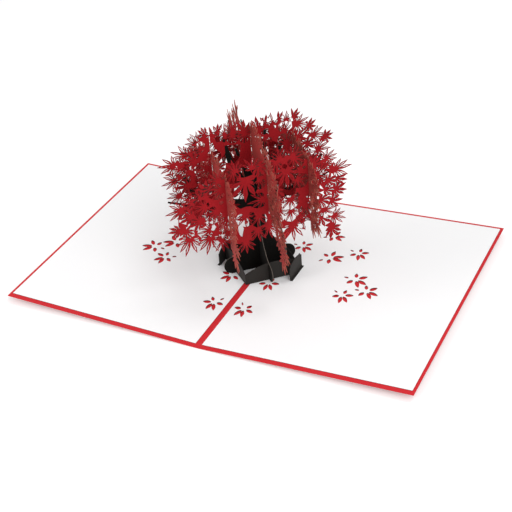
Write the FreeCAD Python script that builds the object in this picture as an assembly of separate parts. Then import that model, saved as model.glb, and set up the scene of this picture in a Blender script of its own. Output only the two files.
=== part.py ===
import FreeCAD, Part
import math
import os

# Pop up card, opened into a shallow V, with a slotted-card maple tree standing on the fold.
# Millimetres. X runs across the two pages, Y along the fold (the reader sits at -Y), Z is up.
# The origin is the middle of the fold, on the surface that the card stands on.

os.makedirs("parts", exist_ok=True)

# Folded cover
page_width = 150.0
spine_length = 200.0
page_rise_deg = 1.9
cover_card = 0.45
score_width = 0.9
score_depth = 0.12

# White liners glued inside the cover, each with leaves cut through it
liner_card = 0.25
liner_spine_margin = 2.4
liner_outer_margin = 2.0
liner_front_margin = 3.6
liner_back_margin = 2.2
stencil_reach = 9.3
stencil_start = 2.4
stencil_half_width = 1.15

# Card stock of the tree and the clearance of every slot and seat
trunk_card = 0.32
leaf_card = 0.26
strip_card = 0.32
slot_clearance = 0.15
seat_clearance = 0.08

# Lattice: two crossing sets of upright sheets, each set a centre sheet and one on either side
lattice_pitch = 29.0
slot_meet = 62.0

# Diamond of two folded strips around the foot of the tree, and the tabs that hold it to the pages
strip_reach_front = 24.3
strip_reach_side = 27.7
strip_corner_gap = 0.5
strip_flap = 8.6
strip_height_fold = 8.6
strip_height_crown = 14.2
strip_crown_share = 0.62
strip_height_side = 11.6
strip_lap = 7.0
tab_half_length = 10.2
tab_end_height = 9.6
tab_crown_height = 13.2
tab_foot = 1.6

# Trunk cards
foot_half_width = 27.0
foot_lobe_radius = 6.8
waist_half_width = 6.0
waist_height = 42.0
trunk_top_half_width = 5.4
trunk_top = 82.0

# Height of the tree, and its height as drawn in the layouts of leaves and branches below
tree_height = 122.0
drawn_height = 122.0

# Leaves of the crown: tips on a fan of lobes, notches between them
lobe_step_deg = 43.0
lobe_lengths = (1.0, 0.92, 0.74)
notch_share = 0.48
heel_share = 0.30
crown_gap = 0.8

# Leaves cut through a liner: distance from the fold, place along it, scale, direction of the leaf
leaf_stencils = (
    (11.5, -51.5, 0.95, -95),
    (14.6, -17.6, 0.95, -72),
    (69.5, -15.8, 0.95, -66),
    (83.7, -6.3, 1.00, -35),
    (71.4, 5.0, 1.05, -42),
    (61.4, 36.6, 0.92, -57),
    (43.6, 25.4, 1.05, 5),
    (18.6, 34.2, 0.92, -42),
    (35.2, 53.0, 0.92, -10),
)

# A stencil's openings, one a lobe: turn from the leaf's direction, and share of the full reach
stencil_lobes = (
    (-18, 1.00),
    (18, 1.00),
    (80, 0.86),
    (-84, 0.76),
    (147, 0.70),
)

# Rims of the crown sheets. Each leaf: place along the sheet, height, radius, direction.
# The sheet is solid between the leaves' middles, so each list goes round its sheet in order.
front_rim = (
    (-53, 85, 8, 140), (-43, 91, 8, 122), (-34, 97, 8, 105), (-22, 101, 8, 100),
    (-10, 101, 8, 88), (9, 103, 7, 100), (19, 103, 7, 75), (33, 93, 7, 70),
    (43, 94, 8, 15), (50, 84, 10, 0), (49, 68, 8, -8), (48, 47, 8, -20),
    (45, 37, 8, -60), (30, 49, 8, -80), (16, 46, 11, -88),
    (-1, 50, 8, -80), (-9, 49, 8, -85), (-18, 42, 8, -88), (-35, 48, 8, -88), (-43, 52, 12, -112),
    (-57, 55, 11, -105), (-64, 65, 7, 180), (-62, 80, 9, 182),
)
side_rim_back = (
    (18, 50, 8, -85), (6, 48, 8, -90), (-8, 50, 8, -95), (-22, 47, 8, -88), (-36, 48, 9, -110),
    (-50, 56, 8, 200), (-53, 67, 8, 172), (-46, 77, 8, 145), (-37, 85, 8, 120),
    (-26, 91, 8, 105), (-12, 97, 8, 98), (4, 99, 7, 90), (16, 99, 7, 85), (28, 95, 7, 65),
    (37, 91, 7, 45), (42, 83, 9, 15), (43, 71, 7, 0), (40, 60, 7, -10),
)
side_rim_left = ((42, 49, 8, -10), (37, 37, 9, -65), (30, 46, 7, -110))
side_rim_right = ((41, 51, 9, -40), (32, 45, 9, -85))
high_rim = (
    (-5, 113, 6, 90), (-13, 115, 7, 100), (-23, 116, 6, 85), (-32, 116, 6, 112),
    (-40, 111, 7, 140), (-48, 104, 9, 150), (-57, 98, 9, 172), (-57, 86, 8, 186),
    (-55, 74, 8, 182), (-52, 62, 8, 205), (-43, 55, 8, 235), (-34, 53, 7, 255),
    (-18, 55, 8, 285),
)
high_inner = ((-15, 68), (-13, 84), (-crown_gap, 86))
spire_rim = (
    (-5, 111, 6, 90), (-12, 113, 6, 90), (-19, 114, 7, 95), (-27, 113, 7, 105),
    (-36, 103, 7, 130), (-43, 98, 7, 140), (-50, 88, 8, 155), (-53, 75, 8, 182),
    (-51, 62, 8, 205), (-43, 55, 8, 235), (-34, 53, 7, 255), (-18, 55, 8, 285),
)
wide_rim = (
    (5, 113, 6, 90), (11, 114, 8, 90), (20, 115, 6, 90), (31, 115, 6, 60),
    (35, 108, 8, -12), (42, 105, 6, 30), (46, 97, 8, 0), (54, 94, 6, 10),
    (49, 85, 9, -8), (53, 71, 8, -5), (49, 59, 9, -35), (35, 53, 8, -75),
    (18, 55, 8, -105),
)
wide_inner = ((17, 68), (19, 80), (19, 97), (9, 104), (crown_gap, 107))
droop_rim = (
    (5, 113, 6, 90), (12, 115, 7, 90), (21, 112, 6, 80), (30, 106, 7, 60),
    (37, 101, 7, 45), (44, 94, 8, 30), (49, 83, 8, 8), (49, 71, 8, 0),
    (54, 57, 8, 5), (57, 45, 8, -15), (52, 36, 9, -70), (45, 48, 8, -135),
    (36, 60, 7, -125), (24, 66, 6, -120),
)
droop_inner = ((19, 76), (11, 84), (crown_gap, 86))

# The back sheet is the front one turned round, narrower and lower by these shares
back_across = 0.84
back_up = 0.93

# Openings inside the crown sheets: place, height, half width, half height
front_windows = (
    (-15, 96, 5.0, 3.2), (-18, 75, 4.2, 7.4), (-21, 57, 2.4, 5.4), (-40, 61, 3.2, 3.2),
    (14, 79, 3.4, 4.4), (14, 60.5, 4.2, 3.8),
)
side_windows = (
    (-15, 88, 3.0, 3.2), (-18, 72, 3.0, 5.0), (-38, 68, 3.2, 3.2), (14, 79, 3.4, 4.4),
    (35, 76, 2.0, 3.0), (12, 62, 3.0, 3.8),
)
high_windows = (
    (-12.5, 98, 9.0, 8.0), (-23, 109, 2.8, 2.0), (-51, 92, 2.2, 3.0), (-25, 72, 2.4, 3.0),
)
wide_windows = (
    (23, 108, 2.6, 2.2), (38, 99, 1.8, 2.6), (24, 92, 2.4, 2.6), (25, 72, 2.4, 3.0),
)
droop_windows = (
    (22, 102, 2.6, 2.6), (24, 88, 2.2, 2.8), (40, 78, 2.2, 2.6), (50, 55, 2.2, 2.8),
)

# Branches cut in one piece with the trunk: width at the root, width at the tip, then the points
centre_branches = (
    (7.0, 2.6, ((-2.6, 58), (-9, 74), (-16, 91), (-20, 109))),
    (4.0, 2.2, ((-3, 66), (-6, 84), (-4, 109))),
    (2.4, 1.6, ((-5.4, 92), (-10, 95), (-11.5, 100))),
    (10.0, 2.4, ((-3, 53), (-18, 58), (-32, 59), (-43, 74), (-49, 87))),
    (3.0, 1.2, ((-32, 59), (-48, 65), (-62, 71))),
    (6.0, 2.4, ((2.6, 58), (10, 73), (16, 90), (24, 99))),
    (3.2, 1.8, ((9, 72), (8.5, 90), (10, 109))),
    (9.0, 2.4, ((3, 52), (18, 57), (32, 59), (43, 69), (50, 81))),
    (3.0, 1.2, ((32, 59), (46, 62), (56, 66))),
)
cross_branches = (
    (6.0, 2.4, ((-3, 68), (-14, 69), (-32, 70), (-45, 83), (-51, 95))),
    (3.6, 1.6, ((-32, 70), (-46, 66), (-56, 70))),
    (6.0, 2.6, ((-3, 68), (-11, 88), (-20, 110))),
    (6.0, 2.4, ((3, 68), (14, 69), (32, 70), (44, 83), (49, 94))),
    (3.6, 1.6, ((32, 70), (46, 67), (56, 58), (58, 46))),
    (6.0, 2.6, ((3, 68), (11, 88), (19, 110))),
)

slope = math.tan(math.radians(page_rise_deg))
across = math.cos(math.radians(page_rise_deg))
diagonal = math.sqrt(0.5)
liner_top = (cover_card + liner_card) / across
drawn_scale = tree_height / drawn_height
high = 2 * spine_length


def liner_height(x):
    """Height of the liners' upper face at a distance x from the fold."""
    return abs(x) * slope + liner_top


def polygon(points):
    """A flat face in local X and Y with straight edges through the points, facing up."""
    corners = [FreeCAD.Vector(x, y, 0) for x, y in points]
    area = sum(a.x * b.y - b.x * a.y for a, b in zip(corners, corners[1:] + corners[:1]))
    if area < 0:
        corners.reverse()
    return Part.Face(Part.makePolygon(corners + corners[:1]))


def gap(x, y, half_width, half_height):
    """A small opening between leaves, with a corner at each side, above and below."""
    return polygon(((x - half_width, y), (x, y - half_height), (x + half_width, y), (x, y + half_height)))


def lens(x, y, direction_deg, inner, outer, half_width):
    """One lobe's opening: pointed at both ends and widest half way."""
    a = math.radians(direction_deg)
    middle = 0.5 * (inner + outer)
    shape = ((inner, 0), (middle, -1), (outer, 0), (middle, 1))
    return polygon([(x + r * math.cos(a) - w * half_width * math.sin(a),
                     y + r * math.sin(a) + w * half_width * math.cos(a)) for r, w in shape])


def drawn(layout, lengths):
    """A layout at the tree's real size: the first so many values of each entry are lengths."""
    return [[drawn_scale * v for v in entry[:lengths]] + list(entry[lengths:]) for entry in layout]


def leaf(x, y, radius, direction_deg):
    """A five-lobed leaf: tips at both sides of its direction, with a notch between neighbours."""
    corners = []
    last = len(lobe_lengths) - 1
    for i in range(-last, last + 1):
        tip = math.radians(direction_deg + i * lobe_step_deg)
        length = radius * lobe_lengths[abs(i)]
        corners.append((x + length * math.cos(tip), y + length * math.sin(tip)))
        notch = math.radians(direction_deg + (i + 0.5) * lobe_step_deg)
        depth = radius * notch_share
        if i < last:
            corners.append((x + depth * math.cos(notch), y + depth * math.sin(notch)))
    heel = math.radians(direction_deg + 180)
    corners.append((x + heel_share * radius * math.cos(heel), y + heel_share * radius * math.sin(heel)))
    return polygon(corners)


def thick_path(points, widths):
    """A face along a bent line, half its width to each side at each point, with mitred corners."""
    sides = ([], [])
    for i, (x, y) in enumerate(points):
        before = points[max(i - 1, 0)]
        after = points[min(i + 1, len(points) - 1)]
        normals = []
        for (x0, y0), (x1, y1) in ((before, (x, y)), ((x, y), after)):
            length = math.hypot(x1 - x0, y1 - y0)
            if length:
                normals.append(((y0 - y1) / length, (x1 - x0) / length))
        nx = sum(n[0] for n in normals) / len(normals)
        ny = sum(n[1] for n in normals) / len(normals)
        mitre = widths[i] / 2 / (nx * nx + ny * ny)
        sides[0].append((x + nx * mitre, y + ny * mitre))
        sides[1].append((x - nx * mitre, y - ny * mitre))
    return polygon(sides[0] + sides[1][::-1])


def branch(root_width, tip_width, points):
    """A branch that follows the points and tapers from its root to its tip."""
    last = len(points) - 1
    return thick_path(points, [root_width + (tip_width - root_width) * i / last for i in range(last + 1)])


def band(low, top, bottom, ceiling):
    """A rectangle between two places along a sheet and two heights."""
    return polygon(((low, bottom), (top, bottom), (top, ceiling), (low, ceiling)))


def sheet_face(faces, cuts):
    """The faces joined, less the cuts. What a cut frees falls away: the largest piece is kept."""
    whole = faces[0].multiFuse(faces[1:]).removeSplitter()
    left = whole.cut(Part.Compound(cuts)) if cuts else whole
    return max(left.Faces, key=lambda face: face.Area)


def upright(face, offset, turn, back, thickness):
    """A flat face made an upright sheet: set at an offset from the tree's axis, and turned."""
    solid = face.extrude(FreeCAD.Vector(0, 0, thickness))
    solid.translate(FreeCAD.Vector(0, 0, offset + back))
    solid.rotate(FreeCAD.Vector(0, 0, 0), FreeCAD.Vector(1, 0, 0), 90)
    solid.rotate(FreeCAD.Vector(0, 0, 0), FreeCAD.Vector(0, 0, 1), 45 + turn)
    return solid


def save(name, shape):
    """One node: its STEP file and a line on its size."""
    solid = shape.Solids[0] if len(shape.Solids) == 1 else shape
    solid.exportStep("parts/" + name + ".step")
    print(name, len(shape.Solids), "solid", round(shape.Volume, 2), "mm3", shape.isValid())


# The cover: one sheet, scored and folded along the Y axis, each page rising from the fold.
half_score = score_width / 2
cover_outline = (
    (-page_width * across, page_width * slope * across),
    (0, 0),
    (page_width * across, page_width * slope * across),
    (page_width * across - cover_card * slope * across, page_width * slope * across + cover_card * across),
    (half_score, half_score * slope + cover_card / across),
    (0, cover_card / across - score_depth),
    (-half_score, half_score * slope + cover_card / across),
    (-page_width * across + cover_card * slope * across, page_width * slope * across + cover_card * across),
)
cover_corners = [FreeCAD.Vector(x, -spine_length / 2, z) for x, z in cover_outline]
cover = Part.Face(Part.makePolygon(cover_corners + cover_corners[:1]))
cover = cover.extrude(FreeCAD.Vector(0, spine_length, 0))
save("cover", cover)

# The liners: flat sheets glued to the pages, with the scattered leaves cut through them.
liner = band(liner_spine_margin, page_width - liner_outer_margin,
             liner_front_margin - spine_length / 2, spine_length / 2 - liner_back_margin)
openings = []
for x, y, scale, direction in leaf_stencils:
    for turn, share in stencil_lobes:
        openings.append(lens(x, y, direction + turn, scale * stencil_start,
                             scale * share * stencil_reach, scale * stencil_half_width))
liner = sheet_face([liner], openings).extrude(FreeCAD.Vector(0, 0, liner_card))
liner.translate(FreeCAD.Vector(0, 0, cover_card))
liner.rotate(FreeCAD.Vector(0, 0, 0), FreeCAD.Vector(0, 1, 0), -page_rise_deg)
save("liner_right", liner)
save("liner_left", liner.mirror(FreeCAD.Vector(0, 0, 0), FreeCAD.Vector(1, 0, 0)))


# The strips: each is folded at the fold line and at the two tabs, with a flap glued to each tab.
flap_line = strip_reach_side - strip_card / 2
strip_path = ((flap_line, -strip_flap), (flap_line, -strip_corner_gap), (0, -strip_reach_front),
              (-flap_line, -strip_corner_gap), (-flap_line, -strip_flap))


def strip_curtain():
    """The height of a strip, seen along the fold: its foot on the liners, its top edge curved."""
    x1 = strip_crown_share * strip_reach_side
    x2 = strip_reach_side + strip_card
    middle = Part.Arc(FreeCAD.Vector(0, 0, liner_top + strip_height_fold),
                      FreeCAD.Vector(x1, 0, liner_height(x1) + strip_height_crown),
                      FreeCAD.Vector(x2, 0, liner_height(x2) + strip_height_side)).toShape()
    foot = Part.makePolygon([FreeCAD.Vector(x2, 0, liner_height(x2) + strip_height_side),
                             FreeCAD.Vector(x2, 0, liner_height(x2) + seat_clearance),
                             FreeCAD.Vector(0, 0, liner_top + seat_clearance),
                             FreeCAD.Vector(0, 0, liner_top + strip_height_fold)])
    right = Part.Face(Part.Wire([middle] + foot.Edges))
    right.translate(FreeCAD.Vector(0, -spine_length / 2, 0))
    right = right.extrude(FreeCAD.Vector(0, spine_length, 0))
    left = right.mirror(FreeCAD.Vector(0, 0, 0), FreeCAD.Vector(1, 0, 0))
    return right.fuse(left).removeSplitter()


trunk_slot = trunk_card + 2 * slot_clearance
lap_height = liner_top + strip_lap
lap_blade = band(-high, high, lap_height, high)
strip = thick_path(strip_path, [strip_card] * len(strip_path)).extrude(FreeCAD.Vector(0, 0, high))
strip = strip.common(strip_curtain())
strip = strip.cut(upright(lap_blade, 0, 0, -trunk_slot / 2, trunk_slot))
strip = strip.cut(upright(lap_blade, 0, -90, -trunk_slot / 2, trunk_slot))
save("base_strip_front", strip)
strip_back = strip.copy()
strip_back.rotate(FreeCAD.Vector(0, 0, 0), FreeCAD.Vector(0, 0, 1), 180)
save("base_strip_back", strip_back)

# The tabs: a narrow foot glued to the liner, and a standing leaf with a curved top.
tab_inner = strip_reach_side
tab_outer = tab_inner + strip_card
tab_floor = liner_height(tab_inner)
tab_arc = Part.Arc(FreeCAD.Vector(tab_inner, -tab_half_length, tab_floor + tab_end_height),
                   FreeCAD.Vector(tab_inner, 0, tab_floor + tab_crown_height),
                   FreeCAD.Vector(tab_inner, tab_half_length, tab_floor + tab_end_height)).toShape()
tab_sides = Part.makePolygon([FreeCAD.Vector(tab_inner, tab_half_length, tab_floor + tab_end_height),
                              FreeCAD.Vector(tab_inner, tab_half_length, tab_floor),
                              FreeCAD.Vector(tab_inner, -tab_half_length, tab_floor),
                              FreeCAD.Vector(tab_inner, -tab_half_length, tab_floor + tab_end_height)])
tab = Part.Face(Part.Wire([tab_arc] + tab_sides.Edges)).extrude(FreeCAD.Vector(strip_card, 0, 0))
under_tab = [FreeCAD.Vector(x, -high, z) for x, z in (
    (tab_inner - 1, 0), (tab_outer + 1, 0),
    (tab_outer + 1, liner_height(tab_outer + 1)), (tab_inner - 1, liner_height(tab_inner - 1)))]
under_tab = Part.Face(Part.makePolygon(under_tab + under_tab[:1])).extrude(FreeCAD.Vector(0, 2 * high, 0))
foot_section = [FreeCAD.Vector(x, -tab_half_length, z) for x, z in (
    (tab_inner, liner_height(tab_inner)), (tab_outer + tab_foot, liner_height(tab_outer + tab_foot)),
    (tab_outer + tab_foot, liner_height(tab_outer + tab_foot) + strip_card),
    (tab_inner, liner_height(tab_inner) + strip_card))]
tab_foot_solid = Part.Face(Part.makePolygon(foot_section + foot_section[:1]))
tab_foot_solid = tab_foot_solid.extrude(FreeCAD.Vector(0, 2 * tab_half_length, 0))
tab = tab.cut(under_tab).fuse(tab_foot_solid).removeSplitter()
save("page_tab_right", tab)
save("page_tab_left", tab.mirror(FreeCAD.Vector(0, 0, 0), FreeCAD.Vector(1, 0, 0)))


def foot_height(u):
    """Height of the trunk cards' lower edge, which lies just over the liners, on the diagonal."""
    return liner_height(u * diagonal) + seat_clearance


def trunk_face():
    """The trunk without branches: two round lobes at its foot, curving up to a narrow waist."""
    lobe = foot_half_width - foot_lobe_radius
    low = foot_height(lobe)
    lobe_middle = low + foot_lobe_radius
    lobe_top = low + 2 * foot_lobe_radius
    rise = waist_height - lobe_top
    run = lobe - waist_half_width
    sweep = (run * run + rise * rise) / (2 * run)
    bend = math.asin(min(rise / sweep, 1.0)) / 2
    flare = (waist_half_width + sweep - sweep * math.cos(bend), waist_height - sweep * math.sin(bend))

    def side(sign):
        place = lambda u, z: FreeCAD.Vector(sign * u, z, 0)
        return [
            Part.Arc(place(lobe, low), place(foot_half_width, lobe_middle), place(lobe, lobe_top)).toShape(),
            Part.Arc(place(lobe, lobe_top), place(*flare), place(waist_half_width, waist_height)).toShape(),
            Part.makeLine(place(waist_half_width, waist_height), place(trunk_top_half_width, trunk_top)),
            Part.makeLine(place(lobe, low), place(0, foot_height(0))),
        ]

    cap = Part.makeLine(FreeCAD.Vector(-trunk_top_half_width, trunk_top, 0),
                        FreeCAD.Vector(trunk_top_half_width, trunk_top, 0))
    return Part.Face(Part.Wire(Part.__sortEdges__(side(1) + side(-1) + [cap])))


# The sheets' layers, measured from each plane of the lattice towards the side that shows.
trunk_back = -trunk_card / 2
glued_back = trunk_card / 2
single_back = -leaf_card / 2
centre_layers = (trunk_back, glued_back + leaf_card)
side_layers = (single_back, single_back + leaf_card)
lattice = ((-lattice_pitch, side_layers), (0, centre_layers), (lattice_pitch, side_layers))

# Sheets along the first diagonal are slotted from above where the others cross them, and the
# sheets along the second diagonal from below, so that they slide into each other half way.
slots_above = [band(-place - layers[1] - slot_clearance, -place - layers[0] + slot_clearance,
                    slot_meet - slot_clearance, high) for place, layers in lattice]
slots_below = [band(place + layers[0] - slot_clearance, place + layers[1] + slot_clearance,
                    -high, slot_meet) for place, layers in lattice]

strip_slot = thick_path(strip_path, [strip_card + 2 * slot_clearance] * len(strip_path))
strip_slot = strip_slot.extrude(FreeCAD.Vector(0, 0, lap_height))
strip_slot_back = strip_slot.copy()
strip_slot_back.rotate(FreeCAD.Vector(0, 0, 0), FreeCAD.Vector(0, 0, 1), 180)


def trunk_solid(branches, slots, turn):
    """A trunk card with its branches, its lattice slots and its laps over the strips."""
    faces = [trunk_face()] + [branch(*widths, drawn(points, 2)) for *widths, points in branches]
    card = upright(sheet_face(faces, slots), 0, turn, trunk_back, trunk_card)
    return card.cut(strip_slot).cut(strip_slot_back)


save("trunk_card_centre", trunk_solid(centre_branches, slots_above, 0))
save("trunk_card_cross", trunk_solid(cross_branches, slots_below, -90))


def crown_face(rim, inner, windows, slots):
    """A crown sheet: solid between its leaves' middles, leaves along its rim, openings inside."""
    leaves = drawn(rim, 3)
    core = polygon([entry[:2] for entry in leaves] + drawn(inner, 2))
    faces = [core] + [leaf(*entry) for entry in leaves]
    return sheet_face(faces, [gap(*entry) for entry in drawn(windows, 4)] + slots)


# Crown sheets at the four sides of the lattice: one single sheet each.
back_rim = [(-back_across * x, back_up * y, radius, 180 - direction)
            for x, y, radius, direction in front_rim]
back_windows = [(-back_across * x, back_up * y, half_width, half_height)
                for x, y, half_width, half_height in front_windows]
front_sheet = crown_face(front_rim, (), front_windows, slots_above)
back_sheet = crown_face(back_rim, (), back_windows, slots_above)
left_sheet = crown_face(side_rim_back + side_rim_left, (), side_windows, slots_below)
right_sheet = crown_face(side_rim_back + side_rim_right, (), side_windows, slots_below)
save("crown_sheet_front", upright(front_sheet, lattice_pitch, 0, single_back, leaf_card))
save("crown_sheet_back", upright(back_sheet, -lattice_pitch, 0, single_back, leaf_card))
save("crown_sheet_left", upright(left_sheet, lattice_pitch, -90, single_back, leaf_card))
save("crown_sheet_right", upright(right_sheet, -lattice_pitch, -90, single_back, leaf_card))

# Crown sheets on the two trunk cards: one each side of the trunk, glued to its branches.
centre_left = crown_face(high_rim, high_inner, high_windows, slots_above)
centre_right = crown_face(wide_rim, wide_inner, wide_windows, slots_above)
cross_back = crown_face(spire_rim, high_inner, high_windows, slots_below)
cross_front = crown_face(droop_rim, droop_inner, droop_windows, slots_below)
save("crown_half_centre_left", upright(centre_left, 0, 0, glued_back, leaf_card))
save("crown_half_centre_right", upright(centre_right, 0, 0, glued_back, leaf_card))
save("crown_half_cross_back", upright(cross_back, 0, -90, glued_back, leaf_card))
save("crown_half_cross_front", upright(cross_front, 0, -90, glued_back, leaf_card))
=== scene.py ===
import bpy
import math
import numpy as np
from mathutils import Matrix, Vector
from mathutils.geometry import delaunay_2d_cdt


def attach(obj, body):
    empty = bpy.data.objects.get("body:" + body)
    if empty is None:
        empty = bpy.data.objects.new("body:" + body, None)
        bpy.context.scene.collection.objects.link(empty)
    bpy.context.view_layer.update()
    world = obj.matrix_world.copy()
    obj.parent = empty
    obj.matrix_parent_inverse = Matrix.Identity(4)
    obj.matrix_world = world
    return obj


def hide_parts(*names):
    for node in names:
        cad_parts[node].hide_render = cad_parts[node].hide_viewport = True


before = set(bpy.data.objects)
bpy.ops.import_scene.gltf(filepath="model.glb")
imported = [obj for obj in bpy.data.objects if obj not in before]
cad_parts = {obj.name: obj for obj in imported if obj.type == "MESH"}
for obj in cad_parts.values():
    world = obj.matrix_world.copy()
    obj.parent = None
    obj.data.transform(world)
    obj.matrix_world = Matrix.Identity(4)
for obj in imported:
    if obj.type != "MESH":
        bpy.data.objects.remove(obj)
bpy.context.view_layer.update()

# The cover: one sheet of red card, scored down the middle and folded. Its dyed fibres run
# through the sheet, so the cut edges are red too, and the score has pressed them flat.
COVER_RED = (0.57, 0.014, 0.021)
FIBRES_PER_METRE = 2600.0
FIBRE_STRETCH = (1.0, 0.35, 1.0)
CLOUDS_PER_METRE = 55.0
CLOUD_SHARE = 0.8
DARKEST = 0.84
LIGHTEST = 1.16
ROUGHNESS_RANGE = 0.25
SHEEN_ROUGHNESS = 0.4


class Socket:
    """A shader value that is written in plain sums: each sign adds its Math node."""

    def __init__(self, finish, link):
        self.finish = finish
        self.link = link

    def math(self, operation, *others):
        return self.finish.node("ShaderNodeMath", {"operation": operation}, (self, *others))

    def __add__(self, other):
        return self.math("ADD", other)

    def __sub__(self, other):
        return self.math("SUBTRACT", other)

    def __mul__(self, other):
        return self.math("MULTIPLY", other)


class Finish:
    """A material under construction. node() adds any node: its settings first, then its inputs,
    and gives back one of its outputs."""

    def __init__(self, name):
        self.material = bpy.data.materials.new(name)
        self.material.use_nodes = True
        self.tree = self.material.node_tree
        self.tree.nodes.clear()
        self.place = self.node("ShaderNodeTexCoord", {}, {}, "Object")
        self.normal = self.node("ShaderNodeTexCoord", {}, {}, "Normal")

    def node(self, kind, settings, inputs, output=0):
        made = self.tree.nodes.new(kind)
        for key, value in settings.items():
            setattr(made, key, value)
        pairs = inputs.items() if isinstance(inputs, dict) else enumerate(inputs)
        for key, value in pairs:
            if isinstance(value, Socket):
                self.tree.links.new(value.link, made.inputs[key])
            else:
                made.inputs[key].default_value = value
        return Socket(self, made.outputs[output] if made.outputs else None)

    def noise(self, per_metre, detail, stretch=(1.0, 1.0, 1.0)):
        """Cloudy values from 0 to 1, about 0.5 on average, so many to a metre."""
        placed = self.node("ShaderNodeMapping", {}, {"Vector": self.place, "Scale": stretch})
        return self.node("ShaderNodeTexNoise", {},
                         {"Vector": placed, "Scale": per_metre, "Detail": detail})

    def blend(self, share, first, second):
        """From the first colour to the second as the share goes from 0 to 1."""
        return self.node("ShaderNodeMix", {"data_type": "RGBA"}, {0: share, 6: first, 7: second}, 2)

    def faces(self, direction):
        """1 where the surface's own normal lies along a direction or straight against it, and 0
        where it is square to it."""
        along = self.node("ShaderNodeVectorMath", {"operation": "DOT_PRODUCT"},
                          {0: self.normal, 1: direction}, "Value")
        return along.math("ABSOLUTE")

    def show(self, shader):
        """Joins a shader to the output and gives back the material."""
        self.node("ShaderNodeOutputMaterial", {}, {"Surface": shader})
        return self.material


def card_finish(name, colour, mottle, fibre_m=0.000012, sheen=0.0, sheen_tint=(1.0, 1.0, 1.0),
                gloss=0.5, roughness=0.7, edge_colour=None, face_along=None):
    """Uncoated card: fine felt of fibres as bump and colour, and broad soft clouds of tone. Where
    the surface doesn't face along face_along, it is a cut edge and has the edge's colour."""
    finish = Finish(name)
    fibres = finish.noise(FIBRES_PER_METRE, 4.0, FIBRE_STRETCH)
    clouds = finish.noise(CLOUDS_PER_METRE, 2.0)
    tone = (fibres - 0.5) * mottle + (clouds - 0.5) * (CLOUD_SHARE * mottle) + 0.5
    darker = (*[DARKEST * c for c in colour], 1.0)
    lighter = (*[min(1.0, LIGHTEST * c + 0.001) for c in colour], 1.0)
    shade = finish.blend(tone, darker, lighter)
    if face_along:
        cut = finish.faces(face_along).math("LESS_THAN", 0.5)
        shade = finish.blend(cut, shade, (*edge_colour, 1.0))
    bump = finish.node("ShaderNodeBump", {}, {"Height": fibres, "Distance": fibre_m})
    return finish.show(finish.node("ShaderNodeBsdfPrincipled", {}, {
        "Base Color": shade, "Roughness": (fibres - 0.5) * ROUGHNESS_RANGE + roughness,
        "Specular IOR Level": gloss, "Sheen Weight": sheen, "Sheen Roughness": SHEEN_ROUGHNESS,
        "Sheen Tint": (*sheen_tint, 1.0), "Normal": bump}))


def dress(piece, *materials):
    """Gives the piece its materials, in the order of its slots."""
    piece.data.materials.clear()
    for material in materials:
        piece.data.materials.append(material)


cover_finish = card_finish("cover card", COVER_RED, mottle=0.6, sheen=0.05, gloss=0.25)
dress(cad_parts["cover"], cover_finish)

# The liners: smooth white sheets glued inside the pages. Maple leaves are cut right through
# them, one lens-shaped opening for each lobe, and the red cover shows at the bottom of the cuts.
LINER_WHITE = (0.925, 0.92, 0.93)
# Near-black red for the openings' cut walls and for a rim beside each opening: partly laser scorch,
# partly painted shade inside the cut
LINER_EDGE_AND_SHADE = (0.06, 0.008, 0.007)
PAGE_RISE = math.radians(1.9)
COVER_CARD = 0.00045
LINER_CARD = 0.00025
LINER_SPINE = 0.0024
LINER_OUTER = 0.1480
LINER_FRONT = -0.0964
LINER_BACK = 0.0978
# Each leaf: distance from the fold and place along it in mm, scale, direction in degrees
LINER_LEAVES = np.array((
    (11.5, -51.5, 0.95, -95), (14.6, -17.6, 0.95, -72), (69.5, -15.8, 0.95, -66),
    (83.7, -6.3, 1.00, -35), (71.4, 5.0, 1.05, -42), (61.4, 36.6, 0.92, -57),
    (43.6, 25.4, 1.05, 5), (18.6, 34.2, 0.92, -42), (35.2, 53.0, 0.92, -10)))
# Each lobe: turn in degrees, inner and outer reach in mm, half width in mm
LINER_LOBES = np.array((
    (-18, 2.2, 9.8, 1.45), (18, 2.2, 9.7, 1.45), (80, 2.3, 8.3, 1.4), (-84, 2.3, 7.4, 1.4),
    (147, 2.3, 6.7, 1.25), (-141, 5.2, 8.6, 0.6)))
# How far the dark rim of each opening lies off the opening, across and along the page, towards the
# back left, away from the camera: partly scorch, partly painted shade of the cut
SCORCH_SHADE_SHIFT = np.array((-0.00030, 0.00060))
LENS_STEPS = np.array((0.0, 0.06, 0.2, 0.4, 0.6, 0.8, 1.0))
LENS_BEND = (0.75, 1.0)
MERGE_DISTANCE = 1e-5
MM = 0.001


def lenses(x, y, direction, inner, outer, half_width, steps, start, end):
    """Outlines shaped as a lens, from the inner to the outer reach along a direction. At a share t
    of the way the half width is t to the power start, times 1 - t to the power end, scaled to
    peak at half_width."""
    x, y, direction, inner, outer, half_width = np.broadcast_arrays(
        x, y, direction, inner, outer, half_width)
    share = np.r_[steps, steps[-2:0:-1]]
    side = np.r_[-np.ones(len(steps)), np.ones(len(steps) - 2)]
    peak = start / (start + end)
    width = share ** start * (1 - share) ** end / (peak ** start * (1 - peak) ** end) * side
    along = inner[..., None] + (outer - inner)[..., None] * share
    wide = half_width[..., None] * width
    c = np.cos(direction)[..., None]
    s = np.sin(direction)[..., None]
    outline = np.stack((x[..., None] + along * c - wide * s,
                        y[..., None] + along * s + wide * c), -1)
    return list(outline.reshape(-1, len(share), 2))


def turn_of(outline):
    """Twice the area inside an outline: positive where its corners run counter-clockwise."""
    x, y = outline.T
    return np.sum(x * np.roll(y, -1) - y * np.roll(x, -1))


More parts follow.
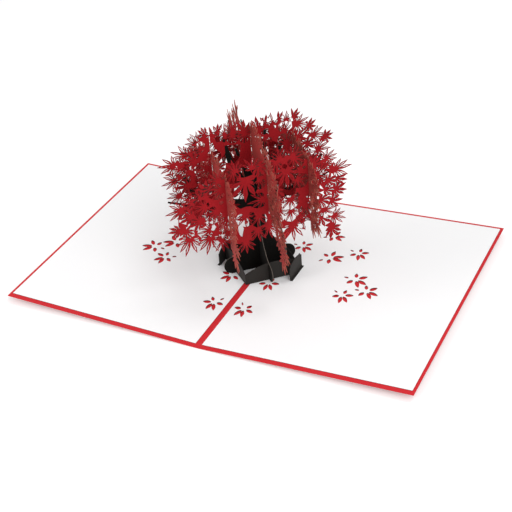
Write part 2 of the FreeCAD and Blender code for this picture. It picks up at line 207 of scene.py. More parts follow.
def whole_piece(triangles):
    """Which triangles belong to the largest patch that hangs together by its edges: each takes
    the lowest number among its neighbours until nothing changes."""
    edges = np.sort(np.concatenate((triangles[:, :2], triangles[:, 1:], triangles[:, ::2])), 1)
    order = np.lexsort(edges.T)
    same = np.all(edges[order][1:] == edges[order][:-1], 1)
    owner = np.tile(np.arange(len(triangles)), 3)[order]
    one = owner[:-1][same]
    other = owner[1:][same]
    label = np.arange(len(triangles))
    before = None
    while before is None or np.any(before != label):
        before = label.copy()
        lowest = np.minimum(label[one], label[other])
        np.minimum.at(label, one, lowest)
        np.minimum.at(label, other, lowest)
        label = label[label]
    names, count = np.unique(label, return_counts=True)
    return label == names[np.argmax(count)]


def cut_sheet(name, steps, scorch_shade_outlines, low, high, place, slot, finishes, mirrored=False):
    """A card cut flat and then put in its place. The steps are lists of outlines, in turn to keep
    and to cut, and the last step that covers a spot says whether card is left there. What is left
    inside the scorch-and-shade outlines has the last of the finishes, for face, cut edge and a
    near-black rim that is partly scorch and partly painted shade. The patch that hangs together is
    given its thickness from low to high, with a wall along each edge that only one triangle has.
    place(a, b, w) gives X, Y and Z."""
    every_step = (*steps, scorch_shade_outlines)
    last = len(steps)
    outlines = [outline if turn_of(outline) > 0 else outline[::-1]
                for step in every_step for outline in step]
    step_of = np.repeat(np.arange(last + 1), [len(step) for step in every_step])
    corners = np.concatenate(outlines)
    ends = np.cumsum([0] + [len(outline) for outline in outlines])
    faces = [list(range(a, b)) for a, b in zip(ends, ends[1:])]
    points, _, triangles, _, _, owners = delaunay_2d_cdt(
        [Vector(corner) for corner in corners], [], faces, 0, MERGE_DISTANCE, True)
    owning_steps = [[step_of[face] for face in owner] for owner in owners]
    deciding = [max([step for step in owning if step < last], default=1)
                for owning in owning_steps]
    scorch_and_shade = np.array([last in owning for owning in owning_steps])
    kept = np.array(deciding) % 2 == 0
    triangles = np.array(triangles)[kept]
    whole = whole_piece(triangles)
    triangles = triangles[whole]
    scorch_and_shade = scorch_and_shade[kept][whole].astype(int)
    used, triangles = np.unique(triangles, return_inverse=True)
    triangles = triangles.reshape(-1, 3)
    flat = np.array([tuple(point) for point in points])[used]
    edges = np.concatenate((triangles[:, (0, 1)], triangles[:, (1, 2)], triangles[:, (2, 0)]))
    pairs = np.sort(edges, 1)
    _, first, count = np.unique(pairs, axis=0, return_index=True, return_counts=True)
    rim = edges[first[count == 1]]
    n = len(flat)
    walls = np.concatenate((np.stack((rim[:, 0] + n, rim[:, 1] + n, rim[:, 1]), 1),
                            np.stack((rim[:, 0] + n, rim[:, 1], rim[:, 0]), 1)))
    every = np.concatenate((triangles, triangles[:, ::-1] + n, walls))
    if mirrored:
        every = every[:, ::-1]
    a, b = flat.T
    vertices = np.concatenate((place(a, b, high), place(a, b, low)))
    mesh = bpy.data.meshes.new(name)
    mesh.from_pydata(vertices.tolist(), [], every.tolist())
    mesh.update()
    piece = bpy.data.objects.new(name, mesh)
    bpy.context.scene.collection.objects.link(piece)
    dress(piece, *finishes)
    finish_of = np.r_[2 * scorch_and_shade, 2 * scorch_and_shade, np.ones(len(walls), int)]
    mesh.polygons.foreach_set("material_index", finish_of.astype(np.int32))
    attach(piece, "root")
    return piece


def on_page(side):
    """The page's own flat, turned up by its rise. side is 1 for the right page, -1 for the left."""
    c = math.cos(PAGE_RISE)
    s = math.sin(PAGE_RISE)
    return lambda a, b, w: np.stack((side * (a * c - w * s), b, a * s + w * c), 1)


liner_finish = card_finish("liner card", LINER_WHITE, mottle=0.05, fibre_m=0.000006, gloss=0.3,
                           roughness=0.6)
liner_edge_and_shade = card_finish("liner cut edge and painted shade", LINER_EDGE_AND_SHADE, mottle=0.3, gloss=0.2)
leaf_units = (MM, MM, MM, math.pi / 180)
leaf_x, leaf_y, leaf_scale, leaf_turn = (LINER_LEAVES * leaf_units).T[:, :, None]
lobe_turn, lobe_inner, lobe_outer, lobe_half = (LINER_LOBES * (math.pi / 180, 1, 1, 1)).T
liner_outline = np.array(((LINER_SPINE, LINER_FRONT), (LINER_OUTER, LINER_FRONT),
                          (LINER_OUTER, LINER_BACK), (LINER_SPINE, LINER_BACK)))
liner_openings = lenses(leaf_x, leaf_y, leaf_turn + lobe_turn, leaf_scale * lobe_inner,
                        leaf_scale * lobe_outer, leaf_scale * lobe_half, LENS_STEPS, *LENS_BEND)
for page, side in (("right", 1), ("left", -1)):
    # Each opening shifted back and to the left, away from the camera: the band of liner it covers
    # gets the near-black rim, partly scorch, partly painted shade
    scorch_shade_rims = [outline + SCORCH_SHADE_SHIFT * (side, 1) for outline in liner_openings]
    liner = cut_sheet("liner_sheet_" + page, ([liner_outline], liner_openings), scorch_shade_rims, COVER_CARD,
                      COVER_CARD + LINER_CARD, on_page(side), "liner_white",
                      (liner_finish, liner_edge_and_shade, liner_edge_and_shade), mirrored=side < 0)
    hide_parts("liner_" + page)

# The black cards: trunk, branches, strips and tabs, cut from one warm black stock. The trunk cards
# are given a darker black than the strips and tabs, as painted shade under the crown. Where the
# blade went through, the edges show the card's paler brown-grey core.
SHADED_TRUNK_BLACK = (0.0045, 0.0038, 0.0030)
STRIP_BLACK = (0.013, 0.0105, 0.0085)
BLACK_EDGE = (0.15, 0.125, 0.105)
DIAGONAL = math.sqrt(0.5)
for node, face_along in (("trunk_card_centre", (DIAGONAL, -DIAGONAL, 0.0)),
                         ("trunk_card_cross", (DIAGONAL, DIAGONAL, 0.0))):
    shaded_trunk_finish = card_finish(node + " black", SHADED_TRUNK_BLACK, mottle=0.9, fibre_m=0.00001,
                               sheen=0.01, gloss=0.12, edge_colour=BLACK_EDGE,
                               face_along=face_along)
    dress(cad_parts[node], shaded_trunk_finish)
black_finish = card_finish("black card", STRIP_BLACK, mottle=0.9, fibre_m=0.00001, sheen=0.03,
                           gloss=0.3)
for node in ("base_strip_front", "base_strip_back", "page_tab_right", "page_tab_left"):
    dress(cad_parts[node], black_finish)

# The crown: red card cut into a lace of maple leaves. Four single sheets stand round the
# outside of the lattice, and four halves are glued to the trunk cards' branches. Places and
# lengths are in mm along a sheet and up, and directions in degrees turned up from level.
LEAF_RED = (0.285, 0.0062, 0.010)
LEAF_EDGE = (0.34, 0.085, 0.058)
# Near-black red for the band round each slit and for the first sheets' cut edges: partly scorch,
# partly painted shade
LEAF_SCORCH_AND_SHADE = (0.040, 0.006, 0.005)
LATTICE_PITCH = 29.0
SLOT_MEET = 62.0
SLOT_CLEARANCE = 0.15
LEAF_CARD = 0.26
TRUNK_CARD = 0.32
LOBE_STEPS = np.array((0.0, 0.15, 0.4, 0.65, 0.85, 1.0))
SLIT_STEPS = np.array((0.0, 0.35, 0.7, 0.88, 1.0))
LOBE_PLACE = np.arange(-3, 4)
LOBE_TURN = np.sign(LOBE_PLACE) * np.radians((0, 29, 59, 93))[abs(LOBE_PLACE)]
LOBE_LENGTH = np.array((1.0, 0.92, 0.76, 0.50))[abs(LOBE_PLACE)]
SLIT_TURN = (LOBE_TURN[1:] + LOBE_TURN[:-1]) / 2
SLIT_LENGTH = (LOBE_LENGTH[1:] + LOBE_LENGTH[:-1]) / 2
HEART_BACK = 0.25
SPREAD = 1.04
SPREAD_SWAY = 0.14
TURN_SWAY = math.radians(4)
LENGTH_SWAY = 0.06
SLIT_REACH = (0.20, 0.80)
RIB_REACH = (0.36, 0.84)
LOBE_BEND = (1.0, 1.25)
SLIT_BEND = (1.5, 0.7)
RIB_BEND = (1.2, 1.0)
# Width in mm of the near-black band round each slit, partly scorch, partly painted shade
SCORCH_SHADE_WIDTH = 0.19
FIELD = 0.90
GAP_CORNERS = 9
GAP_MEAN = 0.9
GAP_SWAY = 0.17
# Half widths of lobes, slits and ribs as shares of a leaf's reach, for each kind of leaf: 0 a
# solid star, 1 an open leaf, 2 a broad leaf with dark slits
RIM_HALVES = np.array(((0.150, 0.020, 0.006), (0.108, 0.040, 0.028), (0.125, 0.036, 0.006)))
HUNG_HALVES = np.array(((0.150, 0.030, 0.006), (0.092, 0.048, 0.028), (0.120, 0.036, 0.006)))

# Rims go round their sheet in order, and other leaves hang in it. Each leaf: place along the
# sheet, height, radius, direction, kind. Each gap: place, height, half width, half height
FRONT_RIM = (
    (-53, 85, 8, 140, 1), (-43, 91, 8, 122, 0), (-34, 97, 8, 105, 1), (-22, 101, 8, 100, 1),
    (-10, 101, 8, 88, 1), (9, 103, 7, 100, 1), (19, 103, 7, 75, 1), (33, 93, 7, 70, 0),
    (43, 94, 8, 15, 1), (50, 84, 10, 0, 1), (49, 68, 8, -8, 0), (48, 47, 8, -20, 1),
    (45, 37, 8, -60, 0), (30, 49, 8, -80, 1), (23.5, 49, 8, -85, 1), (16, 46, 11, -88, 1),
    (-1, 50, 8, -80, 1), (-9, 49, 8, -85, 1), (-18, 42, 8, -88, 1), (-35, 48, 8, -88, 1),
    (-43, 52, 11, -104, 1), (-57, 55, 11, -105, 1), (-64, 65, 7, 180, 0), (-62, 80, 9, 182, 1))
FRONT_LEAVES = (
    (-15.5, 87.7, 13.0, -98, 2), (13.5, 89.0, 11.5, -88, 2), (-6, 74, 9, 180, 1),
    (-17, 63, 9, -95, 1), (-58, 62, 6, -60, 0), (-44, 60, 8, 185, 1), (41, 53, 8, -30, 1),
    (46, 60, 7, -8, 0), (15, 67, 8, -100, 1), (15.5, 58, 7.5, -88, 1), (22, 54, 6, -60, 0),
    (44, 76, 7, -10, 0), (-30, 54, 7, -110, 1), (50, 76, 7, -15, 0), (-48, 87, 7, 150, 1),
    (38, 86, 7, 30, 0), (-24, 98, 8, -120, 1), (-5, 98, 8, -60, 0), (-34, 88, 9, 190, 1),
    (-46, 78, 9, 200, 1), (-56, 74, 8, 170, 0), (-38, 72, 9, 215, 1), (-30, 64, 9, 250, 1),
    (-50, 68, 8, 200, 0), (-6, 88, 7, -100, 1), (-8, 60, 8, -95, 1), (6, 98, 8, -110, 0),
    (20, 98, 8, -60, 1), (36, 82, 9, -20, 1), (32, 70, 9, -40, 0), (38, 62, 8, -30, 0),
    (22, 82, 8, -45, 1), (5, 76, 8, 250, 0), (7, 60, 8, -70, 1), (26, 60, 8, -70, 1),
    (38, 48, 8, -40, 0), (-40, 92, 7, 160, 1), (42, 70, 7, 5, 0))
FRONT_GAPS = (
    (-15, 97.5, 6.0, 4.2), (-24, 94, 3.2, 2.6), (-17, 77, 7.5, 8.5), (-12, 62, 1.8, 2.8),
    (-21, 55, 2.4, 5.5), (-10, 55, 1.4, 1.8), (-56, 66, 2.6, 2), (-61, 72, 1.6, 1.4),
    (-40, 61.5, 2.5, 2.4), (-44, 67, 1.8, 1.6), (-52, 56, 1.7, 1.6), (-54.5, 60, 1.8, 1.8),
    (-37, 54, 1.4, 1.6), (7.5, 96, 2.2, 3.4), (12.5, 95, 2.4, 1.8), (14, 77.5, 7, 7),
    (20, 71, 2.4, 2), (13.5, 62.5, 2.2, 2.4), (22, 58, 1.4, 1.6), (32, 86.5, 1.5, 1.5),
    (36, 74, 1.7, 1.7), (-50, 82, 1.6, 1.8), (-37, 88, 1.6, 1.4), (-33, 79, 1.4, 1.8),
    (44, 64, 1.4, 1.4), (35, 55, 1.5, 1.5), (-26, 70, 1.3, 2.0), (7, 83, 1.2, 1.8),
    (26, 91, 1.3, 1.4), (44, 88.5, 1.6, 1.3), (-22, 80.5, 2.2, 2.4), (-34, 58, 2.0, 1.6),
    (-29, 61, 1.3, 2.2), (-48, 74, 1.5, 1.3), (-42, 80, 1.3, 1.5), (-58, 76, 1.2, 1.6),
    (-27, 51, 1.5, 1.8), (30, 64, 1.3, 1.8), (40, 66, 1.2, 1.6), (47, 80, 1.4, 1.2))
SIDE_RIM_BACK = (
    (18, 50, 8, -85, 1), (6, 48, 8, -90, 1), (-8, 50, 8, -95, 1), (-22, 47, 8, -88, 1),
    (-36, 48, 9, -110, 0), (-50, 56, 8, 200, 1), (-53, 67, 8, 172, 1), (-46, 77, 8, 145, 1),
    (-37, 85, 8, 120, 0), (-26, 91, 8, 105, 1), (-12, 97, 8, 98, 1), (4, 99, 7, 90, 0),
    (16, 99, 7, 85, 1), (28, 95, 7, 65, 1), (37, 91, 7, 45, 0), (42, 83, 9, 15, 1),
    (43, 71, 7, 0, 1), (40, 60, 7, -10, 1))
LEFT_RIM_LOW = (
    (42, 49, 8, -10, 1), (37, 37, 9, -65, 1), (30, 46, 7, -110, 0))
RIGHT_RIM_LOW = (
    (41, 51, 9, -40, 1), (32, 45, 9, -85, 1))
SIDE_LEAVES = (
    (-16, 84, 11, -95, 1), (12, 86, 11, -85, 1), (-42, 65, 9, 190, 1), (36, 79, 7, 10, 0),
    (-6, 68, 8, 200, 1), (38, 66, 7, -15, 1), (8, 54, 7, -60, 0), (34, 56, 7, -70, 1),
    (-22, 87, 8, -110, 1), (-8, 92, 8, -70, 0), (-34, 78, 9, 190, 1), (-45, 71, 8, 170, 1),
    (-36, 58, 9, 215, 0), (-24, 58, 9, 250, 1), (-6, 82, 7, -100, 1), (-10, 58, 8, -95, 0),
    (5, 92, 8, -110, 1), (20, 90, 8, -60, 1), (33, 84, 8, -10, 0), (32, 70, 9, -60, 1),
    (22, 76, 8, -75, 1), (5, 76, 8, 250, 0), (18, 62, 8, -80, 1), (24, 54, 8, -80, 1),
    (35, 50, 8, -80, 0), (-18, 72, 8, -100, 1), (30, 62, 7, -90, 1), (-4, 62, 7, -90, 0))
SIDE_GAPS = (
    (-17, 89, 3.4, 2.4), (-22, 71, 3.4, 6.0), (-12, 62, 1.8, 3.2), (-38, 64, 2.8, 2.4),
    (14, 76, 3.4, 4.4), (34, 75, 1.8, 3.2), (12, 62, 2.8, 3.6), (-47, 62, 1.8, 2),
    (-38, 74, 1.8, 2.0), (-30, 82, 1.7, 1.7), (8, 92, 1.3, 2), (23, 84, 1.4, 2.4),
    (38, 86, 1.3, 1.8), (36, 61, 1.2, 2.2), (24, 66, 1.5, 2.6), (-18, 52, 1.6, 2), (2, 56, 1.5, 2),
    (33, 46, 1.2, 2), (-6, 88, 1.3, 1.6), (20, 56, 1.3, 2))


def leaf_parts(leaves, halves):
    """The lobes to keep, the slits to cut, the fields that the lobes fan out over, and the slits'
    dark rims, partly scorch and partly painted shade that deepens the slits. Seven lobes fan out
    from a heart a little behind the leaf's middle, the longest straight on. Thin slits lie between
    them near the heart, and narrow ribs along their middles.
    No two leaves are quite alike: a sine of the leaf's place along and up the sheet spreads all
    its lobes, and two more, which also take the lobe's own number, turn each lobe and change its
    length."""
    x, y, radius, turn, kind = np.array(leaves, float).T[:, :, None]
    lobe_half, slit_half, rib_half = halves[kind[:, 0].astype(int)].T[:, :, None]
    turn = np.radians(turn)
    reach = radius * (1 + HEART_BACK)
    x = x - HEART_BACK * radius * np.cos(turn)
    y = y - HEART_BACK * radius * np.sin(turn)
    spread = SPREAD + SPREAD_SWAY * np.sin(1.3 * x + 2.1 * y)
    slit_turn = turn + spread * SLIT_TURN
    nudge = TURN_SWAY * np.sin(3.1 * x + 1.7 * y + 2.3 * LOBE_PLACE)
    lobe_turn = turn + spread * LOBE_TURN + nudge
    length = reach * LOBE_LENGTH * (1 + LENGTH_SWAY * np.sin(2.1 * x + 3.7 * y + 1.3 * LOBE_PLACE))
    slit_from = SLIT_REACH[0] * reach
    slit_to = SLIT_REACH[1] * reach * SLIT_LENGTH
    lobes = lenses(x, y, lobe_turn, 0.0, length, reach * lobe_half, LOBE_STEPS, *LOBE_BEND)
    slits = lenses(x, y, slit_turn, slit_from, slit_to, reach * slit_half, SLIT_STEPS, *SLIT_BEND)
    # The slits' near-black bands: partly scorch, partly painted shade that deepens them
    scorch_shade_rims = lenses(x, y, slit_turn, slit_from - SCORCH_SHADE_WIDTH, slit_to + SCORCH_SHADE_WIDTH, reach * slit_half + SCORCH_SHADE_WIDTH,
                  SLIT_STEPS, *SLIT_BEND)
    ribs = lenses(x, y, lobe_turn, RIB_REACH[0] * length, RIB_REACH[1] * length, reach * rib_half,
                  SLIT_STEPS, *RIB_BEND)
    tips = np.stack((x + FIELD * length * np.cos(lobe_turn),
                     y + FIELD * length * np.sin(lobe_turn)), -1)
    fields = np.concatenate((np.stack((x, y), -1), tips), 1)
    return lobes, slits + ribs, list(fields), scorch_shade_rims


def gap_outlines(gaps):
    """Gaps left between leaves: corners round an ellipse, each at a mean share of its radius that
    two sines of the corner's angle and of the gap's place sway, so that no two are alike."""
    corner = np.linspace(0, 2 * math.pi, GAP_CORNERS, endpoint=False)
    x, y, half_width, half_height = np.array(gaps, float).T[:, :, None]
    sway = np.sin(2 * corner + 3.3 * x + y) + np.sin(4 * corner + x - 2.9 * y)
    reach = GAP_MEAN + GAP_SWAY * sway
    return list(np.stack((x + half_width * reach * np.cos(corner),
                          y + half_height * reach * np.sin(corner)), -1))


def blade(low, high, bottom, top):
    """A straight slot between two places along the sheet and two heights."""
    return np.array(((low, bottom), (high, bottom), (high, top), (low, top)))


FAR_ABOVE = 200.0
FAR_BELOW = -50.0
centre_layers = (-TRUNK_CARD / 2, TRUNK_CARD / 2 + LEAF_CARD)
side_layers = (-LEAF_CARD / 2, LEAF_CARD / 2)
glued_layers = (TRUNK_CARD / 2, TRUNK_CARD / 2 + LEAF_CARD)
lattice = ((-LATTICE_PITCH, side_layers), (0.0, centre_layers), (LATTICE_PITCH, side_layers))
slots_above = [blade(-at - layers[1] - SLOT_CLEARANCE, -at - layers[0] + SLOT_CLEARANCE,
                     SLOT_MEET - SLOT_CLEARANCE, FAR_ABOVE) for at, layers in lattice]
slots_below = [blade(at + layers[0] - SLOT_CLEARANCE, at + layers[1] + SLOT_CLEARANCE,
                     FAR_BELOW, SLOT_MEET) for at, layers in lattice]


def in_lattice(direction, offset):
    """Upright at an offset from the tree's axis: the first set of sheets runs along one diagonal
    of the card, and the second set along the other, towards the reader."""
    ways = {"first": (1, 1, 1, -1), "second": (1, -1, -1, -1)}
    ex, ey, nx, ny = DIAGONAL * np.array(ways[direction])
    return lambda a, b, w: MM * np.stack(
        (a * ex + (offset + w) * nx, a * ey + (offset + w) * ny, b), 1)


leaf_finish = card_finish("leaf card", LEAF_RED, mottle=0.9, fibre_m=0.00001, sheen=0.20,
                          sheen_tint=(1.0, 0.42, 0.40), gloss=0.10)
slant_finish = card_finish("slanted leaf card", LEAF_RED, mottle=0.9, fibre_m=0.00001, sheen=0.30,
                           sheen_tint=(1.0, 0.46, 0.36), gloss=0.10)
leaf_edge = card_finish("leaf cut edge", LEAF_EDGE, mottle=0.4, gloss=0.2)
leaf_scorch_and_shade = card_finish("leaf scorch and painted shade", LEAF_SCORCH_AND_SHADE, mottle=0.4, gloss=0.2)
# For the sheets of each direction: the slots, and the finish of faces, cut edges and dark rims.
# The first sheets' cut edges take the near-black rim colour as painted shade, while the second
# sheets' show the paler cut edge of the same card.
SHEETS = {"first": (slots_above, (leaf_finish, leaf_scorch_and_shade, leaf_scorch_and_shade)),
          "second": (slots_below, (slant_finish, leaf_edge, leaf_scorch_and_shade))}


def crown_piece(node, direction, offset, layers, rim, inner, leaves, gaps):
    """One crown sheet: solid between the rim leaves' middles, with gaps. Leaves hang in it, each
    held by its tips across its own cut field, and others grow on its rim."""
    slots, finishes = SHEETS[direction]
    core = np.array([entry[:2] for entry in rim] + list(inner), float)
    hung_lobes, hung_slits, fields, hung_rims = leaf_parts(leaves, HUNG_HALVES)
    rim_lobes, rim_slits, _, rim_rims = leaf_parts(rim, RIM_HALVES)
    steps = ([core], gap_outlines(gaps) + fields, hung_lobes, hung_slits,
             rim_lobes, rim_slits + slots)
    piece = cut_sheet(node + "_leaves", steps, hung_rims + rim_rims, *layers,
                      in_lattice(direction, offset), "leaf_red", finishes)
    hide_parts(node)


# The back sheet has the front's layout as seen from behind, so much narrower and lower
BACK_ACROSS = 0.84
BACK_UP = 0.93


def turned_round(leaves):
    """The same leaves seen from behind, narrower and lower."""
    return [(-BACK_ACROSS * x, BACK_UP * y, radius, 180 - turn, kind)
            for x, y, radius, turn, kind in leaves]


BACK_GAPS = [(-BACK_ACROSS * x, BACK_UP * y, w, h) for x, y, w, h in FRONT_GAPS] + [
    (-36, 62, 3.2, 3.8), (-28, 70, 3.0, 3.6), (-20, 61, 2.8, 3.6), (-35, 76, 2.8, 3.0),
    (-25, 80, 3.0, 3.2), (-13, 73, 2.6, 3.6), (-42, 68, 2.2, 2.8), (-29, 56, 2.4, 2.8),
    (-9, 84, 2.6, 2.6), (-17, 88, 2.6, 2.6), (4, 78, 2.4, 3.0), (20, 70, 2.6, 3.4),
    (28, 62, 2.6, 3.2), (34, 72, 2.2, 3.0), (10, 60, 2.4, 3.2), (-13, 90, 3.6, 3.0),
    (19, 88, 3.4, 3.2)]
crown_piece("crown_sheet_front", "first", LATTICE_PITCH, side_layers,
            FRONT_RIM, (), FRONT_LEAVES, FRONT_GAPS)
crown_piece("crown_sheet_back", "first", -LATTICE_PITCH, side_layers,
            turned_round(FRONT_RIM), (), turned_round(FRONT_LEAVES), BACK_GAPS)
crown_piece("crown_sheet_left", "second", LATTICE_PITCH, side_layers,
            SIDE_RIM_BACK + LEFT_RIM_LOW, (), SIDE_LEAVES, SIDE_GAPS)
crown_piece("crown_sheet_right", "second", -LATTICE_PITCH, side_layers,
            SIDE_RIM_BACK + RIGHT_RIM_LOW, (), SIDE_LEAVES, SIDE_GAPS)

# The halves on the trunk cards: a high one on the left, a wide one on the right, a spire at the
# back and a drooping one in front. Each ends towards the trunk along its inner corners
CROWN_GAP = 0.8
HIGH_RIM = (
    (-5, 112, 9, 84, 0), (-13, 115, 7, 100, 1), (-18, 114, 6.5, 92, 1), (-23, 116, 6, 85, 0),
    (-27.5, 115, 6, 95, 0), (-32, 116, 6, 112, 0), (-40, 111, 7, 140, 1), (-48, 104, 9, 150, 1),
    (-57, 98, 9, 172, 1), (-57, 86, 8, 186, 1), (-55, 74, 8, 182, 1), (-52, 62, 8, 205, 1),
    (-43, 55, 8, 235, 0), (-34, 53, 7, 255, 1), (-18, 55, 8, 285, 1))
HIGH_INNER = ((-15, 68), (-13, 84), (-CROWN_GAP, 86), (-CROWN_GAP, 111))
HIGH_LEAVES = (
    (-57, 92, 5, 180, 0), (-44, 104, 6, 140, 0), (-28, 98, 7, 20, 1), (-48, 80, 8, 185, 1),
    (-13, 109, 6, 265, 1), (-53, 88, 7, 190, 1), (-5, 108, 6, 250, 0), (-24, 89, 6, 10, 0),
    (-36, 106, 7, 130, 1), (-42, 98, 9, 140, 0), (-46, 90, 8, 170, 1), (-34, 90, 9, 180, 1),
    (-28, 76, 9, 200, 0), (-42, 72, 9, 190, 1), (-32, 62, 8, 230, 1), (-36, 82, 7, 160, 1),
    (-48, 70, 7, 190, 1), (-24, 66, 7, 250, 0), (-38, 114, 6, 130, 1))
HIGH_GAPS = (
    (-14.5, 97, 8.5, 7.5), (-22.5, 110.5, 4.2, 2.6), (-27.4, 105, 1.1, 4.5), (-22, 92, 1.6, 3.2),
    (-54, 95, 1.6, 2.4), (-52, 81, 1.4, 1.8), (-44, 92, 1.5, 1.7), (-36, 79, 1.6, 2.0),
    (-25, 70, 2, 2.6), (-46, 64, 1.6, 1.6), (-19, 108, 1.3, 1.8), (-38, 101, 1.2, 1.4),
    (-50, 100, 1.3, 1.3), (-40, 86, 1.2, 1.6), (-31, 97, 1.2, 1.4), (-50, 74, 1.2, 1.4),
    (-32, 70, 1.3, 1.6), (-9, 111, 1.0, 1.2), (-47, 86, 1.6, 1.8), (-33, 86, 1.5, 2.2),
    (-28, 92, 1.3, 2.0), (-41, 95, 1.4, 1.6), (-35, 104, 1.2, 1.6), (-27, 82, 1.4, 2.0),
    (-40, 78, 1.4, 1.8), (-45, 70, 1.5, 1.6), (-38, 68, 1.4, 1.8), (-28, 64, 1.4, 1.8),
    (-52, 90, 1.2, 1.6))
SPIRE_RIM = (
    (-5, 110, 9, 90, 0), (-11, 109, 11, 86, 0), (-16, 109, 11.5, 92, 1), (-21, 108, 12.5, 90, 0),
    (-27, 107, 13, 103, 1), (-36, 101, 9, 118, 1), (-44, 96, 10, 128, 1), (-50, 86, 9, 155, 1),
    (-53, 75, 8, 182, 1), (-51, 62, 8, 205, 1), (-43, 55, 8, 235, 0), (-34, 53, 7, 255, 1),
    (-18, 55, 8, 285, 1))
SPIRE_LEAVES = (
    (-8, 111, 8, 85, 1), (-15, 111, 9, 92, 0), (-22, 112, 8, 90, 1), (-29, 111, 9, 100, 1),
    (-18, 113, 7, 105, 1), (-33, 107, 8, 120, 1), (-42, 92, 8, 140, 1), (-46, 84, 8, 170, 0),
    (-34, 88, 9, 180, 1), (-28, 76, 9, 200, 1), (-42, 72, 9, 190, 1), (-32, 62, 8, 230, 0),
    (-22, 96, 7, 90, 1), (-36, 80, 7, 160, 1), (-24, 66, 7, 250, 1), (-12, 92, 7, 250, 1))
SPIRE_GAPS = (
    (-23, 103, 2.2, 3.0), (-15, 102, 2.0, 3.0), (-8, 102, 1.8, 2.4), (-30, 98, 2.2, 2.6),
    (-22, 92, 2.5, 3.0), (-38, 95, 2.6, 2.6), (-44, 88, 2.0, 2.4), (-36, 79, 1.6, 2.0),
    (-25, 70, 2, 2.6), (-46, 64, 1.6, 1.6), (-50, 80, 1.3, 1.3), (-40, 86, 1.2, 1.6),
    (-14, 95, 2.0, 2.6), (-50, 70, 1.2, 1.4))
WIDE_RIM = (
    (5, 112, 8.5, 92, 0), (11, 114, 7, 90, 0), (15.5, 114, 7, 95, 1), (20, 115, 6, 90, 0),
    (25.5, 114, 6.5, 85, 1), (31, 115, 6, 60, 0), (35, 108, 8, -12, 1), (42, 105, 6, 30, 0),
    (46, 97, 8, 0, 1), (54, 94, 6, 10, 0), (49, 85, 9, -8, 1), (53, 71, 8, -5, 1),
    (49, 59, 9, -35, 1), (35, 53, 8, -75, 1), (18, 55, 8, -105, 1))
WIDE_INNER = ((17, 68), (19, 80), (19, 97), (9, 104), (CROWN_GAP, 107))
WIDE_LEAVES = (
    (10, 102, 7, 255, 1), (17, 92, 6, 195, 1), (41, 91, 7, 10, 1), (24, 97, 8, 120, 1),
    (44, 78, 8, 0, 1), (38, 101, 6, 20, 0), (24, 106, 8, 60, 1), (34, 98, 9, 20, 0),
    (26, 90, 9, -60, 1), (38, 84, 9, 0, 1), (40, 70, 9, -10, 0), (28, 74, 8, -60, 1),
    (36, 62, 8, -40, 1), (33, 90, 7, 30, 0), (46, 66, 7, 10, 1), (25, 64, 7, -70, 1))
WIDE_GAPS = (
    (10, 108, 3.2, 3.0), (25, 112, 1.8, 1.4), (29.5, 112.5, 1.0, 2.0), (38, 105, 1.6, 1.4),
    (42, 92, 1.4, 1.8), (20, 92, 1.6, 3.0), (33, 79, 1.6, 2.0), (45, 72, 1.6, 1.6),
    (25, 68, 2, 2.4), (48, 91, 1.5, 1.5), (17, 110, 1.1, 1.4), (31, 103, 1.2, 1.6),
    (38, 77, 1.2, 1.4), (42, 62, 1.3, 1.3))
DROOP_RIM = (
    (5, 112, 8.5, 90, 0), (12, 115, 7, 90, 1), (21, 112, 6, 80, 1), (30, 106, 7, 60, 1),
    (37, 101, 7, 45, 1), (44, 94, 8, 30, 1), (49, 83, 8, 8, 1), (49, 71, 8, 0, 1),
    (54, 57, 8, 5, 1), (57, 45, 8, -15, 1), (52, 36, 9, -70, 1), (45, 48, 8, -135, 0),
    (36, 60, 7, -125, 1), (24, 66, 6, -120, 1))
DROOP_INNER = ((19, 76), (11, 84), (CROWN_GAP, 86), (CROWN_GAP, 111))
DROOP_LEAVES = (
    (46, 64, 7, -30, 1), (52, 47, 6, -60, 0), (30, 96, 7, 30, 1), (25, 103, 8, 60, 1),
    (34, 92, 9, 30, 0), (28, 82, 8, -60, 1), (42, 84, 9, 0, 1), (44, 72, 9, -20, 0),
    (50, 56, 8, -50, 1), (36, 74, 7, -60, 1), (14, 110, 6, 90, 0), (46, 50, 7, -80, 1),
    (40, 64, 7, -60, 1), (52, 42, 7, -80, 0))
DROOP_GAPS = (
    (20, 106, 2.0, 1.6), (26, 90, 1.6, 2.4), (38, 94, 1.6, 1.6), (36, 84, 1.4, 1.8),
    (44, 78, 1.4, 1.8), (48, 63, 1.4, 2.2), (52, 51, 1.4, 2.0), (13, 108, 1.3, 1.8),
    (28, 100, 1.2, 1.6), (40, 70, 1.2, 1.8), (34, 68, 1.1, 1.6), (47, 43, 1.2, 2.0),
    (45, 88, 1.1, 1.5))
crown_piece("crown_half_centre_left", "first", 0.0, glued_layers,
            HIGH_RIM, HIGH_INNER, HIGH_LEAVES, HIGH_GAPS)
crown_piece("crown_half_centre_right", "first", 0.0, glued_layers,
            WIDE_RIM, WIDE_INNER, WIDE_LEAVES, WIDE_GAPS)
crown_piece("crown_half_cross_back", "second", 0.0, glued_layers,
            SPIRE_RIM, HIGH_INNER, SPIRE_LEAVES, SPIRE_GAPS)
crown_piece("crown_half_cross_front", "second", 0.0, glued_layers,
            DROOP_RIM, DROOP_INNER, DROOP_LEAVES, DROOP_GAPS)

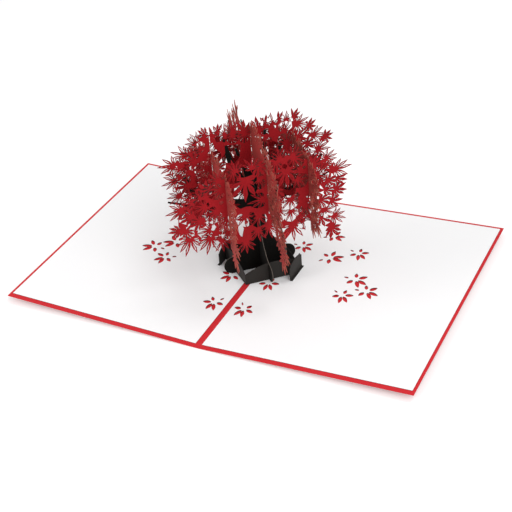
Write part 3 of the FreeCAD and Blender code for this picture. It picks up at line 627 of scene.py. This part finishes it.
# The floor: a plain white table. What the camera sees of it is lifted to white where no shadow
# lies on it.
FLOOR_WHITE = (0.80, 0.80, 0.80, 1.0)
FLOOR_LIFT = 0.22
floor_finish = Finish("white table")
floor_lit = floor_finish.node("ShaderNodeBsdfDiffuse", {}, {"Color": FLOOR_WHITE})
floor_lift = floor_finish.node("ShaderNodeEmission", {}, {"Strength": FLOOR_LIFT})
floor_both = floor_finish.node("ShaderNodeAddShader", {}, (floor_lit, floor_lift))
by_camera = floor_finish.node("ShaderNodeLightPath", {}, {}, "Is Camera Ray")
floor_seen = floor_finish.node("ShaderNodeMixShader", {}, (by_camera, floor_lit, floor_both))
FLOOR_REACH = 6.0
FLOOR_DROP = 0.0002
floor_mesh = bpy.data.meshes.new("floor")
floor_mesh.from_pydata([(sx * FLOOR_REACH, sy * FLOOR_REACH, -FLOOR_DROP)
                        for sx, sy in ((-1, -1), (1, -1), (1, 1), (-1, 1))], [], [(0, 1, 2, 3)])
floor = bpy.data.objects.new("floor", floor_mesh)
bpy.context.scene.collection.objects.link(floor)
dress(floor, floor_finish.show(floor_seen))

# The light: an even white room. A lamp high on the right and behind casts the soft shadow to the
# left front, a wide one in front lights the first sheets, and a low one on the left the second.
ROOM_STRENGTH = 0.60
world = bpy.data.worlds.new("room")
bpy.context.scene.world = world
world.use_nodes = True
room = world.node_tree.nodes["Background"]
room.inputs["Color"].default_value = (1.0, 1.0, 1.0, 1.0)
room.inputs["Strength"].default_value = ROOM_STRENGTH


def lamp(name, place, size, watts):
    """A square lamp at a place, turned to face the card."""
    data = bpy.data.lights.new(name, "AREA")
    data.size = size
    data.energy = watts
    made = bpy.data.objects.new(name, data)
    made.location = place
    made.rotation_euler = Vector(place).to_track_quat("Z", "Y").to_euler()
    bpy.context.scene.collection.objects.link(made)


lamp("window", place=(0.55, 0.40, 1.45), size=0.5, watts=4.0)
lamp("front", place=(1.13, -0.95, 1.03), size=1.6, watts=22.0)
lamp("left", place=(-1.25, -0.80, 0.50), size=0.8, watts=10.0)

# The camera: the photograph's own view, from the front right and above, with its slight roll.
# Place, lens and roll were fitted to the card's corners and fold in the photograph.
CAMERA_AZIMUTH = math.radians(27.753)
CAMERA_ELEVATION = math.radians(33.564)
CAMERA_DISTANCE = 0.86858
CAMERA_ROLL = math.radians(-4.382)
CAMERA_TARGET = Vector((-0.00958, 0.012256, 0.0))
CAMERA_LENS = 83.61
away = Vector((math.sin(CAMERA_AZIMUTH) * math.cos(CAMERA_ELEVATION),
               -math.cos(CAMERA_AZIMUTH) * math.cos(CAMERA_ELEVATION), math.sin(CAMERA_ELEVATION)))
level = (-away).cross(Vector((0, 0, 1))).normalized()
upward = level.cross(-away)
tilted = math.cos(CAMERA_ROLL) * level + math.sin(CAMERA_ROLL) * upward
upright = -math.sin(CAMERA_ROLL) * level + math.cos(CAMERA_ROLL) * upward
camera_data = bpy.data.cameras.new("camera")
camera_data.lens = CAMERA_LENS
camera_data.sensor_width = 36.0
camera_data.clip_start = 0.01
camera = bpy.data.objects.new("camera", camera_data)
camera.matrix_world = Matrix.Translation(CAMERA_TARGET + CAMERA_DISTANCE * away) @ Matrix(
    (tilted, upright, away)).transposed().to_4x4()
bpy.context.scene.collection.objects.link(camera)
bpy.context.scene.camera = camera
bpy.context.scene.view_settings.view_transform = "Standard"
